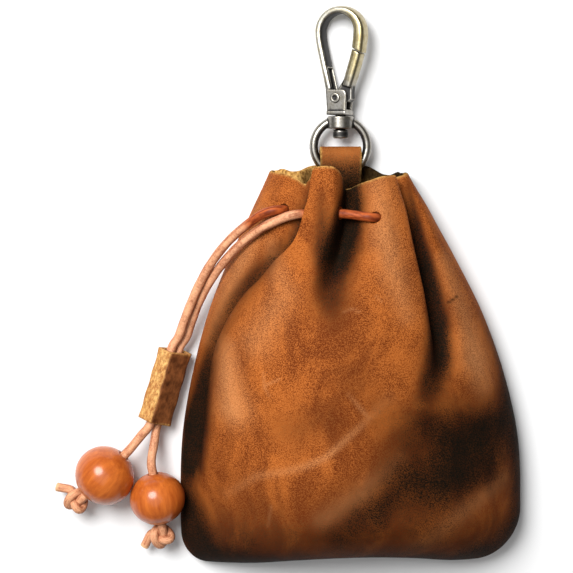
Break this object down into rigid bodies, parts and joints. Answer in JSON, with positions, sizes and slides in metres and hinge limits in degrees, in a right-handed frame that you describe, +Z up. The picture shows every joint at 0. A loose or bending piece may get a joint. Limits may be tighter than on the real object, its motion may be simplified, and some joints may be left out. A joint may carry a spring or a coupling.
{
  "type": "leather drawstring pouch",
  "caption": "Small leather pouch gathered by a round lace with a leather slider and wooden beads, with a brass swivel snap hook on a strap.",
  "frame": {"origin": "middle of the footprint of pouch and hook, on the surface that the pouch lies on", "axes": "+X to the right of the pouch's front, +Y from the foot of the pouch towards the hook, +Z up out of the front"},
  "size_m": [0.1446, 0.1687, 0.04],
  "materials": {
    "waxed_leather": "waxed, mottled",
    "lace": "smooth round lace",
    "raw_leather": "smooth on one face, raw on the other",
    "bead_wood": "polished",
    "antique_brass": "tarnished, worn bright on the edges"
  },
  "bodies": {
    "pouch": {"front_panel": "waxed_leather", "back_panel": "waxed_leather", "strap_loop": "waxed_leather", "swivel_ring": "antique_brass", "drawstring": "lace", "cord_end_left": "lace", "cord_end_right": "lace", "slider": "raw_leather", "bead_left": "bead_wood", "bead_right": "bead_wood", "knot_left": "lace", "knot_right": "lace"},
    "hook": {"hook_body": "antique_brass", "gate_pin": "antique_brass"},
    "gate": {"gate": "antique_brass"}
  },
  "joints": [
    {"name": "hook_swivel", "type": "hinge", "parent": "pouch", "child": "hook", "pos_m": [-0.0032, 0.0514, 0.0052], "axis": [0, 1, 0], "continuous": true},
    {"name": "gate_hinge", "type": "hinge", "parent": "hook", "child": "gate", "pos_m": [-0.00374, 0.0564, 0.00495], "axis": [-0.4226, 0, 0.9063], "range_deg": [0, 22], "stiffness_Nm_per_rad": 0.02}
  ]
}
